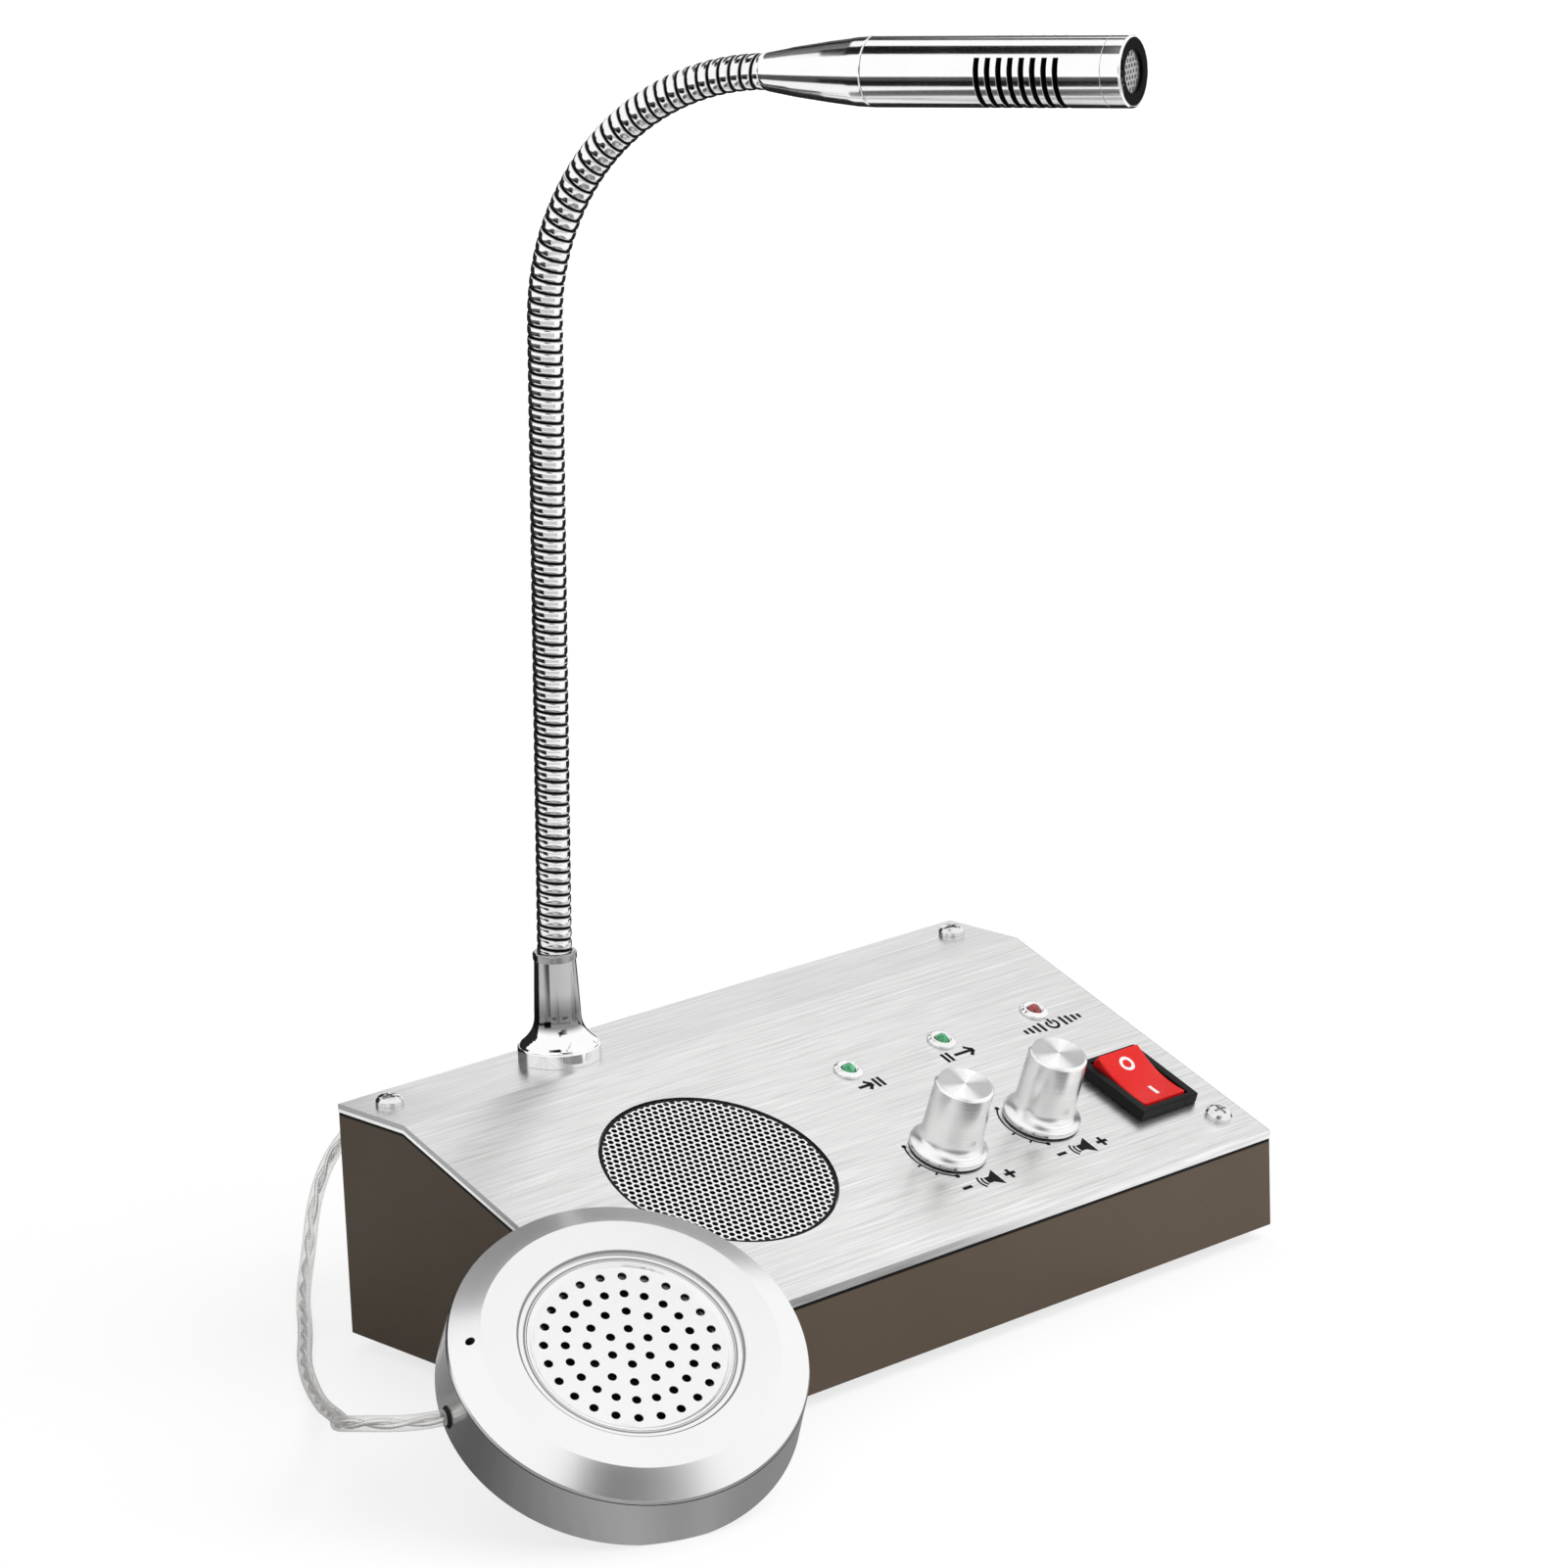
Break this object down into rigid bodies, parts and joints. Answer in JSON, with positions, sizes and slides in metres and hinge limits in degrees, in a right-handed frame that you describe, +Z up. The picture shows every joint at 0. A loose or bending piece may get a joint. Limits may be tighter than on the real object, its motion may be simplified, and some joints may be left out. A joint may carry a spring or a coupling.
{
  "type": "teller window intercom",
  "caption": "Counter intercom: sloped desk unit with perforated speaker disc, knobs, rocker switch and bendable gooseneck microphone, cabled to a round outside speaker.",
  "frame": {"origin": "on the table, under the centre of the desk unit's plan", "axes": "+X along the panel to the operator's right, -Y towards the operator, +Z up"},
  "size_m": [0.242, 0.1943, 0.2773],
  "materials": {
    "casing_paint": "dark taupe satin paint on folded steel",
    "panel_aluminium": "brushed along its length",
    "grille_steel": "perforated, satin",
    "knob_aluminium": "turned, bright satin",
    "bright_chrome": "mirror",
    "screw_steel": "zinc plated",
    "plain_steel": "plated",
    "switch_black": "fine satin",
    "switch_red": "glossy, translucent red",
    "contact_brass": "bare",
    "board_green": "solder mask",
    "component_black": "moulded",
    "component_sleeve": "shrunk sleeve",
    "header_white": "moulded",
    "lamp_green": "tinted, clear",
    "lamp_red": "tinted, clear",
    "foot_rubber": "matte",
    "paper_cone": "pressed paper",
    "magnet_ferrite": "sintered",
    "puck_silver": "metallic silver lacquer",
    "puck_shadow": "metallic silver lacquer",
    "cable_clear": "clear sleeve over tinned wire",
    "plug_black": "moulded",
    "mic_black": "satin"
  },
  "bodies": {
    "desk_unit": {"housing_shell": "casing_paint", "bottom_plate": "casing_paint", "top_plate": "panel_aluminium", "corner_posts": "plain_steel", "top_screws": "screw_steel", "bottom_screws": "screw_steel", "rubber_feet": "foot_rubber", "speaker_grille": "grille_steel", "speaker_basket": "plain_steel", "speaker_magnet": "magnet_ferrite", "speaker_cone": "paper_cone", "speaker_clips": "plain_steel", "line_lamps": "lamp_green", "power_lamp": "lamp_red", "led_bezels": "bright_chrome", "volume_pots": "plain_steel", "pot_nuts": "plain_steel", "switch_housing": "switch_black", "switch_terminals": "contact_brass", "circuit_board": "board_green", "board_standoffs": "contact_brass", "board_screws": "screw_steel", "board_capacitors": "component_sleeve", "amplifier_heat_sink": "component_black", "board_connectors": "header_white", "line_socket": "component_black", "power_inlet": "component_black", "line_plug": "plug_black", "rear_nuts": "plain_steel", "neck_socket": "bright_chrome", "neck_nut": "plain_steel", "neck_stub": "bright_chrome", "puck_back_shell": "puck_shadow", "puck_front_shell": "puck_silver", "puck_dish": "puck_silver", "puck_speaker_frame": "plain_steel", "puck_speaker_cone": "paper_cone", "puck_speaker_magnet": "magnet_ferrite", "puck_microphone": "component_black", "puck_screws": "screw_steel", "cable_grommet": "plug_black", "speaker_cable": "cable_clear"},
    "in_volume": {"in_volume_knob": "knob_aluminium", "in_volume_shaft": "plain_steel"},
    "out_volume": {"out_volume_knob": "knob_aluminium", "out_volume_shaft": "plain_steel"},
    "power_switch": {"power_rocker": "switch_red"},
    "neck_1": {"neck_link_1": "bright_chrome"},
    "neck_2": {"neck_link_2": "bright_chrome"},
    "neck_3": {"neck_link_3": "bright_chrome"},
    "neck_4": {"neck_link_4": "bright_chrome"},
    "neck_5": {"neck_link_5": "bright_chrome"},
    "neck_6": {"neck_link_6": "bright_chrome", "mic_tail": "bright_chrome", "mic_tube": "bright_chrome", "mic_end_ring": "bright_chrome", "mic_face": "mic_black", "mic_mesh": "grille_steel", "mic_capsule": "knob_aluminium", "mic_capsule_holder": "foot_rubber"}
  },
  "joints": [
    {"name": "in_volume_turn", "type": "hinge", "parent": "desk_unit", "child": "in_volume", "pos_m": [0.015, -0.02556, 0.03427], "axis": [0, -0.3514, 0.9362], "range_deg": [-150, 150]},
    {"name": "out_volume_turn", "type": "hinge", "parent": "desk_unit", "child": "out_volume", "pos_m": [0.0433, -0.02556, 0.03427], "axis": [0, -0.3514, 0.9362], "range_deg": [-150, 150]},
    {"name": "power_rock", "type": "hinge", "parent": "desk_unit", "child": "power_switch", "pos_m": [0.0728, -0.02617, 0.03474], "axis": [1, 0, 0], "range_deg": [-16, 0]},
    {"name": "neck_pitch_1", "type": "hinge", "parent": "desk_unit", "child": "neck_1", "pos_m": [-0.03784, 0.03857, 0.09029], "axis": [0.9397, 0.342, 0], "range_deg": [-25, 25]},
    {"name": "neck_sway_1", "type": "hinge", "parent": "neck_1", "child": "neck_2", "pos_m": [-0.03739, 0.03732, 0.12499], "axis": [-0.3418, 0.939, 0.0384], "range_deg": [-25, 25]},
    {"name": "neck_pitch_2", "type": "hinge", "parent": "neck_2", "child": "neck_3", "pos_m": [-0.03693, 0.03606, 0.15968], "axis": [0.9397, 0.342, 0], "range_deg": [-25, 25]},
    {"name": "neck_sway_2", "type": "hinge", "parent": "neck_3", "child": "neck_4", "pos_m": [-0.03648, 0.03481, 0.19438], "axis": [-0.3418, 0.939, 0.0384], "range_deg": [-25, 25]},
    {"name": "neck_pitch_3", "type": "hinge", "parent": "neck_4", "child": "neck_5", "pos_m": [-0.03541, 0.03189, 0.22886], "axis": [0.9397, 0.342, 0], "range_deg": [-25, 25]},
    {"name": "neck_sway_3", "type": "hinge", "parent": "neck_5", "child": "neck_6", "pos_m": [-0.02875, 0.0136, 0.25693], "axis": [-0.2073, 0.5696, 0.7953], "range_deg": [-25, 25]}
  ]
}
